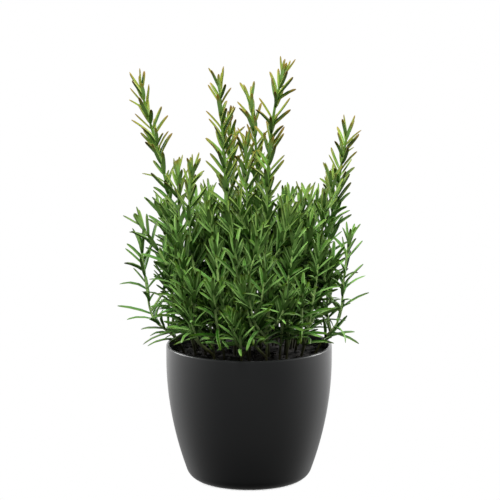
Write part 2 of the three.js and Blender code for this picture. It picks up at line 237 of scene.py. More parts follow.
lip = POT_WALL / 2
lip_angles = [math.pi * i / LIP_STEPS for i in range(LIP_STEPS + 1)]
inside = corner(POT_FLOOR, INNER_CORNER_TOP, POT_WALL, steps=6) + belly(INNER_CORNER_TOP, POT_WALL, steps=14)
pot_outline = (
    corner(0, OUTER_CORNER_TOP, 0, steps=8)
    + belly(OUTER_CORNER_TOP, 0, steps=20)
    + [(POT_RADIUS - lip + lip * math.cos(a), POT_HEIGHT - lip + lip * math.sin(a)) for a in lip_angles]
    + inside[::-1]
)
pot = raise_rings(pot_outline, POT_SIDES)
bpy.ops.object.shade_smooth_by_angle(angle=math.radians(40))
print("pot faces:", len(pot.data.polygons))

# %% [markdown]
# ## The pot's plastic
#
# Charcoal polypropylene, moulded against a finely sparked steel tool. The spark texture is about 0.3 mm
# and too fine to show at this size, so it is drawn at 1.2 mm: it breaks up the sheen a little. The colour
# is close to black, and what the eye reads as grey is mostly the room mirrored softly at the edges.

# %% Satin charcoal plastic
def satin_plastic():
    material, add, shader = new_material("moulded_charcoal_polypropylene")
    place = add("TexCoord").outputs["Object"]
    spark = add("TexNoise", {"Vector": place, "Scale": 1 / (1.2 * MM), "Detail": 3})
    flow = add("TexNoise", {"Vector": place, "Scale": 1 / (60 * MM), "Detail": 2})
    tint = add("ValToRGB", {"Fac": flow}, stops=[(0.3, "#141516"), (0.7, "#181919")])
    sheen = add("MapRange", [spark, 0, 1, 0.28, 0.38])
    bump = add("Bump", {"Height": spark, "Strength": 0.05, "Distance": 0.1 * MM})
    feed(shader, {"Base Color": tint, "Roughness": sheen, "Normal": bump, "IOR": 1.49})
    return material


pot.data.materials.append(satin_plastic())
finish_piece(pot, "charcoal_pot", "pot")
print("finished:", pot.name)

# %% [markdown]
# ## The growing rule
#
# A rosemary bush in a pot is many straight, square stems from one root ball. Each stem is a smooth curve
# through a few points, the same points as in the frame, and carries side shoots that turn until they are
# clear of the other stems. The numbers that look random come from one formula, so every run is the same.

# %% The stems and the bush that they fill
SOIL_TOP = 108
SOIL_BUMP = 1.5
ROOT_Z = 88  # lower end of each stem, inside the soil
STEPS_PER_SPAN = 1.5  # straight pieces of a stem's solid from one point to the next
STEM_TIP_RADIUS = 1.05
SHOOT_RADIUS = 1.3
BUSH_TOP = 240  # height that side shoots stay under
BUSH_RADIUS = 72
SHOOT_CLEARANCE = 3.5
BARE_SHOOT = 10
RIM_ROOM = 2
FILL_RADIUS = 1.3
GOLDEN_ANGLE = 137.5  # degrees from one side shoot to the next round a stem

# Base radius, bare length above the soil, number of side shoots, and the points from root to tip.
SEEN_STEMS = {
    "tall_left": [1.7, 14, 2, (-40, 14, ROOT_Z), (-57, 18, 170), (-68, 22, 240), (-75, 24, 270),
                  (-92, 28, 333)],
    "short_left": [1.4, 18, 2, (-34, -6, ROOT_Z), (-47, -10, 190), (-50, -12, 235), (-47, -12, 268)],
    "inner_left": [1.3, 34, 2, (-20, 20, ROOT_Z), (-30, 24, 180), (-35, 26, 234)],
    "tall_middle_left": [1.8, 44, 2, (-12, -9, ROOT_Z), (-12, -12, 190), (-19, -10, 250), (-24.5, -6, 339)],
    "back_middle_left": [1.4, 44, 2, (-6, 14, ROOT_Z), (-12, 16, 210), (-17, 18, 303)],
    "middle": [1.6, 52, 3, (10, 4, ROOT_Z), (9, 5, 200), (6, 6, 280), (1, 8, 325)],
    "tall_middle_right": [1.8, 40, 3, (17, -11, ROOT_Z), (14, -14, 180), (16, -14, 268), (21, -14, 318),
                          (28, -14, 348)],
    "inner_right": [1.3, 30, 2, (28, -4, ROOT_Z), (38, -8, 180), (45, -8, 243)],
    "back_inner_right": [1.3, 24, 2, (22, 24, ROOT_Z), (28, 32, 180), (31, 34, 233)],
    "short_right": [1.3, 14, 2, (34, 22, ROOT_Z), (50, 32, 170), (55, 36, 219)],
    "tall_right": [1.7, 12, 3, (42, 8, ROOT_Z), (54, 12, 150), (70, 16, 210), (76, 18, 255), (83, 20, 295)],
    "fork_right": [1.3, 34, 1, (35, 3, ROOT_Z), (52, 1, 170), (69, 2, 222), (69, 3, 258)],
    "short_middle": [1.3, 44, 1, (1, -12, ROOT_Z), (0, -12, 190), (-2, -11, 245), (-3, -9, 289)],
    "back_left": [1.3, 16, 1, (-28, 25, ROOT_Z), (-46, 34, 150), (-62, 38, 192), (-77, 41, 225)],
    "front": [1.4, 8, 2, (4, -26, ROOT_Z), (-4, -39, 135), (-5, -44, 170), (10, -47, 213)],
    "front_left": [1.2, 8, 2, (-20, -22, ROOT_Z), (-23, -27, 145), (-28, -30, 203)],
    "front_right": [1.2, 6, 2, (24, -27, ROOT_Z), (29, -34, 150), (38, -38, 215)],
    "outer_left": [1.3, 6, 1, (-40, -10, ROOT_Z), (-54, -17, 148), (-68, -21, 187), (-90, -26, 224)],
    "low_left": [1.2, 8, 1, (-46, 3, ROOT_Z), (-61, 4, 119), (-81, 4, 138), (-87, 3, 167), (-91, 2, 201)],
    "low_right": [1.2, 8, 1, (46, -4, ROOT_Z), (61, -6, 119), (76, -8, 140), (80, -8, 176), (84, -8, 208)],
    "inner_low_right": [1.2, 6, 2, (38, -17, ROOT_Z), (51, -23, 140), (59, -28, 202)],
    "twin_left": [1.2, 20, 1, (-38, 1, ROOT_Z), (-57, -3, 150), (-58, -3, 200), (-60, -1, 264)],
}

# Rings of stems behind and below them: the name, how many, the radius at the root, the radius and height at
# the tip, the turn of the first stem, the span of the ring, the bare length and the number of side shoots.
FILL_RINGS = [
    ("back", 6, 38, 70, 220, 28, 124, 8, 2),
    ("front_rim", 4, 42, 59, 164, 228, 84, 4, 1),
    ("back_rim", 4, 48, 62, 168, 42, 84, 4, 1),
]


def chance(i, j, k=0):
    """A number from 0 to 1 that looks random but is always the same for the same counters."""
    wave = math.sin(i * 12.9898 + j * 78.233 + k * 37.719) * 43758.5453
    return wave - math.floor(wave)


# %% [markdown]
# A shoot is a stem or a side shoot. Its curve is a Catmull-Rom spline, which passes through every point
# and leaves each one in the direction from its neighbour before to its neighbour after.

# %% Shoots as smooth curves
UP = np.array([0.0, 0.0, 1.0])
SAMPLES = 200  # for the length walked along a curve


def unit(vector):
    return vector / np.linalg.norm(vector)


class Shoot:
    """A smooth curve through points, from the root at t = 0 to the tip at t = 1, in millimetres."""

    def __init__(self, points, radius, bare):
        self.points = [np.array(p, dtype=float) for p in points]
        self.radius = radius
        self.bare = bare
        self.steps = math.floor(STEPS_PER_SPAN * (len(points) - 1))
        self.joints = [self.at(i / self.steps) for i in range(self.steps + 1)]
        samples = np.array([self.at(i / SAMPLES) for i in range(SAMPLES + 1)])
        walked = np.cumsum(np.linalg.norm(np.diff(samples, axis=0), axis=1))
        self.walked = np.concatenate([[0.0], walked])
        self.length = self.walked[-1]
        run = self.points[-1] - self.points[0]
        side = np.array([-run[1], run[0], 0.0])
        self.side = unit(side) if np.linalg.norm(side) >= 1 else np.array([1.0, 0.0, 0.0])

    def at(self, t):
        spans = len(self.points) - 1
        i = min(int(t * spans), spans - 1)
        w = t * spans - i
        p1, p2 = self.points[i], self.points[i + 1]
        p0 = self.points[i - 1] if i > 0 else 2 * p1 - p2
        p3 = self.points[i + 2] if i + 2 <= spans else 2 * p2 - p1
        v1, v2 = (p2 - p0) / 2, (p3 - p1) / 2
        return p1 + v1 * w + (-3 * p1 + 3 * p2 - 2 * v1 - v2) * w**2 + (2 * p1 - 2 * p2 + v1 + v2) * w**3

    def t_of(self, distance):
        """The t at a distance walked along the curve from its root."""
        return float(np.interp(distance, self.walked, np.linspace(0, 1, SAMPLES + 1)))

    def on_pieces(self, t):
        """The place at t on the straight pieces that the frame's solid is made of."""
        i = min(int(t * self.steps), self.steps - 1)
        share = t * self.steps - i
        return self.joints[i] * (1 - share) + self.joints[i + 1] * share

    def directions(self, t, turn):
        """The direction along the shoot at t, and the one square to it at an angle in degrees round it."""
        along = unit(self.at(min(1, t + 1e-4)) - self.at(max(0, t - 1e-4)))
        across = unit(self.side - along * (self.side @ along))
        turn = math.radians(turn)
        return along, across * math.cos(turn) + np.cross(along, across) * math.sin(turn)

    def radius_at(self, t):
        return self.radius + (STEM_TIP_RADIUS - self.radius) * t

    def pieces(self):
        """Its solid's straight pieces: starts, ends and radii."""
        joints = np.array(self.joints)
        return joints[:-1], joints[1:], np.full(self.steps, self.radius)


# %% [markdown]
# Two shoots are clear of each other when every straight piece of one keeps its distance from every piece
# of the other. The shortest distance between two straight pieces has a closed formula, and here it runs
# on whole arrays of pieces at once.

# %% Keeping clear
BOX_LOW, BOX_HIGH = np.array(cad_box[0]) / MM, np.array(cad_box[1]) / MM
BOX_ROOM = 1.5


def gaps(a, b, c, d):
    """The shortest distances from the straight piece a-b to each of the pieces c-d."""
    u, v, w = b - a, d - c, a - c
    uu, vv, uv = u @ u, np.sum(v * v, axis=1), v @ u
    uw, vw = w @ u, np.sum(v * w, axis=1)
    det = uu * vv - uv * uv
    s = np.where(det > 1e-9, np.clip((uv * vw - vv * uw) / np.maximum(det, 1e-9), 0, 1), 0)
    t = np.clip((uv * s + vw) / vv, 0, 1)
    s = np.clip((uv * t - uw) / uu, 0, 1)
    return np.linalg.norm(w + s[:, None] * u - t[:, None] * v, axis=1)


def is_clear(pieces, others, room):
    starts, ends, radii = pieces
    other_starts, other_ends, other_radii = others
    return all(
        np.all(gaps(a, b, other_starts, other_ends) > r + other_radii + room)
        for a, b, r in zip(starts, ends, radii)
    )


def is_off_pot(pieces):
    """Whether pieces keep off the pot's wall and the soil, at their ends and their middles."""
    starts, ends, _ = pieces
    for x, y, z in np.concatenate([ends, (starts + ends) / 2]):
        radius = math.hypot(x, y)
        outside = radius > POT_RADIUS + RIM_ROOM
        inside = radius < POT_RADIUS - POT_WALL - RIM_ROOM and z > SOIL_TOP + SOIL_BUMP + RIM_ROOM
        if not (z > POT_HEIGHT + RIM_ROOM or outside or inside):
            return False
    return True


def is_in_box(pieces):
    """Whether pieces stay in the box that holds the frame, give or take BOX_ROOM."""
    return np.all(pieces[1] > BOX_LOW - BOX_ROOM) and np.all(pieces[1] < BOX_HIGH + BOX_ROOM)


def joined(all_pieces):
    """Several sets of pieces as one."""
    return tuple(np.concatenate(column) for column in zip(*all_pieces))


# %% [markdown]
# A side shoot leaves its stem sideways and soon turns up beside it, so its middle and its tip lie at fixed
# shares of its length along the stem and out from it. It is tried at several turns round the stem.

# %% Side shoots
SHOOT_BEND = (0.34, 0.3)  # its middle: up, and out,
SHOOT_TIP = (0.84, 0.46)  # and its tip
SHOOTS_FROM = 0.03  # where the first may start, as a share of the stem's leafy length,
SHOOTS_SPAN = 0.34  # and the span over which they all do
SHOOT_LENGTH = 44
SHOOT_VARIES = 26


def side_shoot(stem, start, turn, length):
    """The side shoot that leaves a stem at a distance from its root, at an angle round it."""
    t = stem.t_of(start)
    along, out = stem.directions(t, turn)
    root = stem.on_pieces(t)
    rise = unit((along + UP) / 2)
    bend, tip = (root + rise * up * length + out * away * length for up, away in (SHOOT_BEND, SHOOT_TIP))
    return Shoot([root, bend, tip], SHOOT_RADIUS, BARE_SHOOT)


def is_in_bush(shoot):
    tip = shoot.joints[-1]
    return tip[2] < BUSH_TOP and math.hypot(tip[0], tip[1]) < BUSH_RADIUS


def clear_shoot(stem, share, length, turns, others, room):
    """The first side shoot of several turns that is clear of the others, as a list of one or none."""
    start = stem.bare + share * (stem.length - stem.bare)
    for turn in turns:
        shoot = side_shoot(stem, start, turn, length)
        pieces = shoot.pieces()
        if is_in_bush(shoot) and is_off_pot(pieces) and is_clear(pieces, others, room):
            return [shoot]
    return []


def shoots_of(plant):
    return plant["shoots"] + plant["more_shoots"]


def pieces_of_others(plant, form=None):
    """The straight pieces of the other plants' shoots, and of their needles in the form given."""
    rest = [p for p in plants if p is not plant]
    shoots = [shoot.pieces() for p in rest for shoot in shoots_of(p)]
    return joined(shoots + [form(needle) for p in rest for needle in p["needles"]])


def grow_side_shoots(plant, index):
    stem = plant["shoots"][0]
    others = pieces_of_others(plant)
    for k in range(plant["sides"]):
        share = SHOOTS_FROM + (SHOOTS_SPAN * (k + 0.5 * chance(index, k))) / plant["sides"]
        length = SHOOT_LENGTH + SHOOT_VARIES * chance(index, k + 10)
        turns = [GOLDEN_ANGLE * (k + index) + turn for turn in (0, 40, -40, 80, -80, 120, -120, 180)]
        plant["shoots"] += clear_shoot(stem, share, length, turns, others, SHOOT_CLEARANCE)


# %% Grow the stems
def new_plant(name, points, radius, bare, sides):
    stem = Shoot(points, radius, bare + SOIL_TOP - ROOT_Z)
    return {"name": "stem_" + name, "sides": sides, "shoots": [stem], "more_shoots": [], "needles": []}


def fill_plants():
    for r, (name, count, root_r, tip_r, tip_z, first, span, bare, sides) in enumerate(FILL_RINGS):
        for i in range(count):
            turn = math.radians(first + span * ((i + 0.3 * chance(i, r)) / (count - 1)))
            reach = tip_r * (0.9 + 0.2 * chance(i, r + 3))
            height = tip_z + 30 * (chance(i, r + 6) - 0.5)
            middle = root_r + 0.4 * (reach - root_r)
            places = [(root_r, ROOT_Z), (middle, (SOIL_TOP + height) / 2), (reach, height)]
            points = [(radius * math.cos(turn), radius * math.sin(turn), z) for radius, z in places]
            yield new_plant(f"{name}_{i + 1}", points, FILL_RADIUS, bare, sides)


plants = [new_plant(name, points, radius, bare, sides)
          for name, (radius, bare, sides, *points) in SEEN_STEMS.items()]
plants += fill_plants()
for index, plant in enumerate(plants):
    grow_side_shoots(plant, index)
print("stems:", len(plants), "shoots:", sum(len(p["shoots"]) for p in plants))

# %% [markdown]
# ## One needle
#
# A rosemary needle is a leaf whose edges roll under. From above it is a narrow, dark green strip with a
# sunken line down its middle; below it is pale and felted, with the midrib standing out. The needle is
# modelled once, a unit long and with half its width as the unit across: a six-sided section is extruded
# from the root to the blunt tip, wider and narrower as the leaf is.

# %% Model a needle
NEEDLE_SECTION = [(1.0, 0.45), (0.62, -0.5), (0.0, -0.25), (-0.62, -0.5), (-1.0, 0.45), (0.0, 0.4)]
NEEDLE_RINGS = [(0.36, 0.0), (0.78, 0.12), (1.0, 0.34), (0.98, 0.66), (0.78, 0.9), (0.34, 1.0)]


def model_needle():
    """The needle's points (across, along, under) and its faces."""
    deselect_all()
    bpy.ops.mesh.primitive_circle_add(vertices=len(NEEDLE_SECTION), radius=1, fill_type="NGON")
    needle = bpy.context.object
    for vertex, (across, under) in zip(needle.data.vertices, NEEDLE_SECTION):
        vertex.co = (across * NEEDLE_RINGS[0][0], 0, under * NEEDLE_RINGS[0][0])
    extrude_rings(NEEDLE_RINGS, axis=(0, 1, 0))
    return take_shape(needle)


needle_points, needle_faces = model_needle()
print("needle:", len(needle_points), "points,", len(needle_faces), "faces")

# %% [markdown]
# ## Where the needles grow
#
# The frame's solids carry one needle in each step along a shoot, a quarter turn from one to the next. Here
# the same rule runs first, so each of those needles is there again at its own place. A needle that would
# run through another plant's tries a few other poses, and is left out if none fits.

# %% How a needle grows
LEAF_STEP = 11.4  # from one needle of the frame to the next along a shoot
TIP_ROOM = 2
YOUNG_LENGTH = 28  # length below a tip over which needles grow up: longer and less upright
YOUTH_LENGTH = 50  # length below a tip over which their fresh colour fades
ARCH_TOP = 200  # height under which needles begin to arch over,
ARCH_DEPTH = 90  # and how far below it they arch the most
LEAF_WIDEST = 0.42
LEAF_REACH = 1.6  # radius kept free round a needle of the frame
LEAF_CLEARANCE = 0.35
LEAF_TRIES = [(0, 0, 1), (18, -8, 1), (-18, -8, 1), (32, -14, 0.85), (-32, -14, 0.8)]


def clamp(share):
    return min(1, max(0, share))


def age_at(from_tip, z):
    """How grown up needles are at a place (0 to 1), and how much they arch there (0 to 1)."""
    age = min(1, from_tip / YOUNG_LENGTH)
    return age, age * clamp((ARCH_TOP - z) / ARCH_DEPTH)


def make_needle(shoot, from_tip, turn, lift, size, seed):
    """The needle at a length from a shoot's tip and an angle round it. Its seed makes it differ a little."""
    t = shoot.t_of(shoot.length - from_tip)
    root = shoot.on_pieces(t)
    age, low = age_at(from_tip, root[2])
    along, out = shoot.directions(t, turn)
    arch = chance(*seed, 3)
    return {
        "root": root,
        "along": along,
        "out": out,
        "across": np.cross(along, out),
        "tilt": math.radians(20 + 11 * age + 17 * low + 14 * (chance(*seed, 2) - 0.5) + lift),
        "droop": math.radians(-4 + 20 * age * arch + (36 + 36 * arch) * low),
        "length": (17 + 5 * age + (7 + 10 * chance(*seed, 4)) * low) * size,
        "width": (2.9 + 0.6 * chance(*seed, 5)) * (0.9 + 0.1 * age) * (1 - 0.15 * low),
        "sweep": 0.0,
        "youth": 1 - min(1, from_tip / YOUTH_LENGTH),
        "tone": chance(*seed, 6),
    }


# %% A needle as a line and as pieces
def needle_line(needle):
    """A needle's centre line as the three points of a quadratic Bezier curve, and its lower side."""
    tilt, droop, half = needle["tilt"], needle["droop"], needle["length"] / 2
    start = needle["along"] * math.cos(tilt) + needle["out"] * math.sin(tilt)
    under = needle["out"] * math.cos(tilt) - needle["along"] * math.sin(tilt)
    bend = needle["root"] + start * half
    tip = bend + start * half * math.cos(droop) + under * half * math.sin(droop)
    return needle["root"], bend, tip + needle["across"] * needle["sweep"] * needle["length"], under


def needle_pieces(needle, reach, shares):
    """Its centre line as straight pieces between shares of its length."""
    root, bend, tip, _ = needle_line(needle)
    places = np.array([(1 - t) ** 2 * root + 2 * t * (1 - t) * bend + t * t * tip for t in shares])
    return places[:-1], places[1:], np.full(len(shares) - 1, reach)


def frame_pieces(needle):
    return needle_pieces(needle, LEAF_REACH, (0, LEAF_WIDEST, 1))


# %% Grow the needles of the frame
def node_count(shoot, bare):
    """How many steps fit on a shoot above its bare length."""
    return math.floor((shoot.length - bare) / LEAF_STEP)


def tip_distance(k):
    """The length from a shoot's tip to its node k: a little closer together at the tip."""
    return TIP_ROOM + LEAF_STEP * k * k / (k + 1)


def grow_frame_needles(plant, order, others):
    for s, shoot in enumerate(plant["shoots"]):
        for k in range(node_count(shoot, shoot.bare) + 1):
            seed = (10 * order + s, k)
            turn = 90 + 90 * k + 14 * (chance(*seed, 1) - 0.5)
            for more_turn, lift, size in LEAF_TRIES:
                needle = make_needle(shoot, tip_distance(k), turn + more_turn, lift, size, seed)
                pieces = frame_pieces(needle)
                if is_off_pot(pieces) and is_clear(pieces, others, LEAF_CLEARANCE):
                    plant["needles"].append(needle)
                    break


for order, plant in enumerate(plants):
    grow_frame_needles(plant, order, pieces_of_others(plant, frame_pieces))
print("needles of the frame:", sum(len(p["needles"]) for p in plants))

# %% [markdown]
# The frame also leaves out the small side shoots that fill the bush. They leave each stem along its lower
# part, and turn like the others until they are clear.

# %% Small side shoots
MORE_SHOOTS = 3  # tried on each stem
MORE_FROM = 0.02  # they start from this share of its leafy length,
MORE_SPAN = 0.55  # over this span
MORE_LENGTH = 30
MORE_TURN = 60  # degrees, so that they don't stand over the others
MORE_CLEARANCE = 0.8


def grow_more_shoots(plant, index, others):
    for k in range(MORE_SHOOTS):
        share = MORE_FROM + MORE_SPAN * (k + chance(index, k, 21)) / MORE_SHOOTS
        length = MORE_LENGTH + SHOOT_VARIES * chance(index, k, 22)
        turns = [GOLDEN_ANGLE * (k + 2 * index) + MORE_TURN + turn for turn in range(0, 360, 40)]
        plant["more_shoots"] += clear_shoot(plant["shoots"][0], share, length, turns, others, MORE_CLEARANCE)


NEEDLE_REACH = 0.8  # radius kept free round each needle from here on
FREE_SHARES = (0.2, 0.6, 1.0)  # the stretch next to the stem may touch its neighbours


def free_pieces(needle):
    return needle_pieces(needle, NEEDLE_REACH, FREE_SHARES)


for index, plant in enumerate(plants):
    grow_more_shoots(plant, index, pieces_of_others(plant, free_pieces))
print("small side shoots:", sum(len(p["more_shoots"]) for p in plants))

# %% [markdown]
# Then come all the other needles. Rosemary sets its needles in pairs, so each needle of the frame gets its
# partner across the stem, and half a step on there is another pair. Fewer of these halfway pairs grow high
# up, at the bush's airy edge, and at the front in a band above the soil, where the stems show. In the angle
# of some needles sits a tuft of small ones. All of these vary more: they sweep sideways and curl a little.

# %% How many needles, and where
NEEDLE_ROOM = 0.1
HALFWAY_TOP = 320
HALFWAY_CHANCE = 0.8  # the share of the halfway pairs that grows at HALFWAY_TOP,
HALFWAY_DEPTH = 90  # and the depth over which this share rises by one
EDGE_RADIUS = 60  # fewer grow beyond this radius, where the bush is airy,
EDGE_FADE = 25  # and the fewest this much further out,
EDGE_TOP = 225  # but only below this height
EDGE_TOP_FADE = 20
EDGE_LESS = 0.75  # the share that is missing there
OPEN_TOP = 185  # fewer grow in front below this height too, where the stems show,
OPEN_TOP_FADE = 30
OPEN_FOOT = 130  # but not this low, close to the soil,
OPEN_FOOT_FADE = 12
OPEN_BACK = 20  # nor this far behind the pot's middle
OPEN_LESS = 0.85
TUFT_CHANCE = 0.14
TUFT_TOP = 285  # tufts grow only below this height
LIFTED = 24  # height above the soil up to which needles droop less, because it is in their way
STEM_BARE = 3 + SOIL_TOP - ROOT_Z  # length at a stem's root with no needles at all,
SHOOT_BARE = 4  # and at a side shoot's
TRIES = [(0, 0, 1), (20, 8, 1), (-20, -8, 1), (36, -12, 0.95), (-36, 10, 0.9), (55, -16, 0.8), (-55, -4, 0.8),
         (75, -20, 0.65), (-75, 12, 0.65)]


def vary(needle, seed, small):
    """Makes a needle less regular, or a small one of a tuft."""
    needle["tilt"] += math.radians(20 * (chance(seed, 11) - 0.5) - (8 if small else 0))
    needle["droop"] += math.radians(36 * (chance(seed, 12) - 0.35))
    needle["sweep"] = 0.36 * (chance(seed, 13) - 0.5)
    needle["length"] *= (0.45 + 0.3 * chance(seed, 14)) if small else (0.85 + 0.25 * chance(seed, 14))
    needle["width"] *= 0.7 if small else 1


def pair_share(place):
    """The share of halfway pairs that grow at a place."""
    x, y, z = place
    share = min(1, HALFWAY_CHANCE + (HALFWAY_TOP - z) / HALFWAY_DEPTH)
    airy = EDGE_LESS * clamp((math.hypot(x, y) - EDGE_RADIUS) / EDGE_FADE)
    airy *= clamp((EDGE_TOP - z) / EDGE_TOP_FADE)
    band = clamp((OPEN_TOP - z) / OPEN_TOP_FADE) * clamp((z - OPEN_FOOT) / OPEN_FOOT_FADE)
    front = clamp((OPEN_BACK - y) / OPEN_BACK)
    return share - max(airy * (z > OPEN_FOOT), OPEN_LESS * front * band)


def places_at(j, place, seed, in_frame):
    """The turns round the shoot of the needles at half step j, and whether each is a small one."""
    halfway = j % 2 == 1
    turn = 90 + 45 * j + 24 * (chance(seed, 15) - 0.5)
    places = [(turn + 180, False)]
    if halfway or not in_frame:
        places.append((turn, False))
    if halfway and j > 3 and chance(seed, 16) > pair_share(place):
        places = []
    for side in (0, 180):
        if j > 4 and place[2] < TUFT_TOP and chance(seed, 17 + side) < TUFT_CHANCE:
            places.append((turn + side + 80 * (chance(seed, 18 + side) - 0.5), True))
    return places


# %% Grow the rest of the needles
def grow_more_needles(plant, order, others):
    for s, shoot in enumerate(shoots_of(plant)):
        leafy = node_count(shoot, shoot.bare)
        for j in range(2 * node_count(shoot, STEM_BARE if s == 0 else SHOOT_BARE) + 1):
            seed = 1000 * order + 100 * s + 4 * j
            from_tip = tip_distance(j / 2)
            place = shoot.at(shoot.t_of(shoot.length - from_tip))
            in_frame = s < len(plant["shoots"]) and j <= 2 * leafy
            for i, (turn, small) in enumerate(places_at(j, place, seed, in_frame)):
                for more_turn, lift, size in TRIES:
                    needle = make_needle(shoot, from_tip, turn + more_turn, lift, size, (seed + i, j))
                    vary(needle, seed + i, small)
                    needle["droop"] *= min(1, (place[2] - SOIL_TOP) / LIFTED)
                    pieces = free_pieces(needle)
                    if is_off_pot(pieces) and is_in_box(pieces) and is_clear(pieces, others, NEEDLE_ROOM):
                        plant["needles"].append(needle)
                        break


for order, plant in enumerate(plants):
    grow_more_needles(plant, order, pieces_of_others(plant, free_pieces))
print("needles:", sum(len(p["needles"]) for p in plants))

# %% [markdown]
# Deep in the bush the needles get painted shade: their colour is darkened to stand in for the shade that
# the needles round them cast. How crowded it is a little further out and up from a needle tells how deep
# it stands: the number of needles within 2 cm of that place, as a share of the most.

# %% How deep in the bush each needle is
CROWD_RADIUS = 20
CROWD_OFFSET = 14
CROWDED = 0.95  # from this place in the order of all the needles on, they count as the most crowded

all_needles = [needle for plant in plants for needle in plant["needles"]]
middles = KDTree(len(all_needles))
for i, needle in enumerate(all_needles):
    middles.insert(needle_line(needle)[1], i)
middles.balance()
for needle in all_needles:
    middle = needle_line(needle)[1]
    outward = unit(middle * [1, 1, 0]) + UP
    needle["crowd"] = len(middles.find_range(middle + unit(outward) * CROWD_OFFSET, CROWD_RADIUS))
most = sorted(needle["crowd"] for needle in all_needles)[int(CROWDED * len(all_needles))]
for needle in all_needles:
    needle["crowd"] = min(1, needle["crowd"] / most)
print("needles within 2 cm of the most crowded ones:", most)

# %% [markdown]
# ## Build each leafy stem
#
# The woody parts of one stem are drawn as curves with a round bevel that gets thinner to the tip, and
# turned into a mesh. The needles are copies of the one needle, each laid along its own curve by code, all
# in one mesh. Every point remembers where on its needle it lies, how old the needle is, its tone, and how
# crowded its place is for its painted shade, so that one material can colour them all.

# %% The woody parts
ROD_SAMPLES = 28
ROD_SHARE = 0.94  # a rod's thickness, as a share of its solid's
GREEN_FROM = 150  # height above the soil from which the stems are green


def rod_mesh(plant):
    """The plant's stem and side shoots as one mesh object."""
    deselect_all()
    bpy.ops.curve.primitive_nurbs_path_add(location=(0, 0, 0))
    rods = bpy.context.object
    rods.data.splines.clear()
    for shoot in shoots_of(plant):
        spline = rods.data.splines.new("POLY")
        spline.points.add(ROD_SAMPLES - 1)
        for i, point in enumerate(spline.points):
            t = i / (ROD_SAMPLES - 1)
            point.co = (*(shoot.at(t) * MM), 1)
            point.radius = shoot.radius_at(t) * (1 if t < 0.98 else 0.5)
    rods.data.bevel_depth = ROD_SHARE * MM
    rods.data.bevel_resolution = 1
    rods.data.use_fill_caps = True
    bpy.ops.object.convert(target="MESH")
    return bpy.context.object


def rod_youth(rods):
    """For each point of the rods, its youth: 0 in the old wood at the soil and 1 where the stem is green."""
    return np.array([clamp((v.co.z / MM - SOIL_TOP) / GREEN_FROM) for v in rods.data.vertices])


# %% The needles as one mesh
THICKNESS = 0.95  # a needle's depth, as a share of its width
ROLL = 60  # degrees between the needles that are rolled the most to either side


def lay_needles(plant):
    """All the plant's needles: points, faces, and the blade and growth marks of each point."""
    across, along, under = needle_points.T
    points, marks, tones = [], [], []
    for needle in plant["needles"]:
        root, bend, tip, lower = needle_line(needle)
        y = along[:, None]
        line = (1 - y) ** 2 * root + 2 * y * (1 - y) * bend + y * y * tip
        half = needle["width"] / 2
        roll = math.radians(ROLL * (needle["tone"] - 0.5))
        flat = needle["across"] * math.cos(roll) + lower * math.sin(roll)
        deep = lower * math.cos(roll) - needle["across"] * math.sin(roll)
        points.append(line + (across[:, None] * flat + under[:, None] * THICKNESS * deep) * half)
        marks.append(np.stack([across, along, under], axis=1))
        tones.append(np.tile([needle["tone"], needle["youth"], needle["crowd"]], (len(along), 1)))
    count = len(needle_points)
    faces = [[count * i + v for v in face] for i in range(len(points)) for face in needle_faces]
    return np.concatenate(points), faces, np.concatenate(marks), np.concatenate(tones)


# %% A stem with its needles
def mark_points(piece, blade, growth):
    """Keeps two vectors with each point: its place on its needle, and its tone, youth and crowd."""
    for name, values in (("blade", blade), ("growth", growth)):
        layer = piece.data.attributes.new(name, "FLOAT_VECTOR", "POINT")
        layer.data.foreach_set("vector", np.asarray(values, dtype=np.float32).ravel())


def leafy_stem(plant):
    rods = rod_mesh(plant)
    youth = rod_youth(rods)
    mark_points(rods, np.zeros((len(youth), 3)), np.outer(youth, [0, 1, 0]))
    points, faces, blade, growth = lay_needles(plant)
    needles = mesh_object("needles", points, faces)
    mark_points(needles, blade, growth)
    needles.data.materials.append(needle_leaf)
    rods.data.materials.append(stem_wood)
    join_into(rods, needles, smooth_angle=50)
    return rods


# %% [markdown]
# ## Needle and stem finishes
#
# The upper side of a needle is deep green with a soft gloss. Its middle line is sunken, and painted shade
# darkens it. Its rolled edges are paler: partly their own pale colour, partly a painted highlight. The lower
# side is grey-green felt. High up, in full light, the young needles are a fresh yellow-green, and rims and
# ends turn to straw. Deep in the bush all needles get painted shade, darker the more crowded they stand.
# Stems are brown and finely cracked at the soil, palest a little above it, and green where they are young.
#
# The finish is built in three steps: the green of the whole needle, its parts laid over that, with painted
# shade on the middle line and a painted highlight on the rims, and the painted shade of its place in the
# bush.

# %% The green of a needle
SHADE_TOP = 215  # height up to which needles grow in the bush's shade,
LIGHT_FROM = 300  # and from which they grow in full light


def needle_green(add, tone, youth, height):
    old = add("ValToRGB", {"Fac": tone}, stops=[(0.0, "#0e3204"), (0.5, "#275c0f"), (1.0, "#669c4c")])
    new = add("ValToRGB", {"Fac": tone}, stops=[(0.0, "#143f03"), (1.0, "#94ba4e")])
    light = add("MapRange", [height, 0, 1, 0.2, 0.6])
    reached = add("Math", [height, 0.5], operation="MULTIPLY")
    fresh = add("Math", [youth, light, reached], operation="MULTIPLY_ADD")
    return add("Mix", {"Factor": fresh, "A": old, "B": new}, data_type="RGBA")


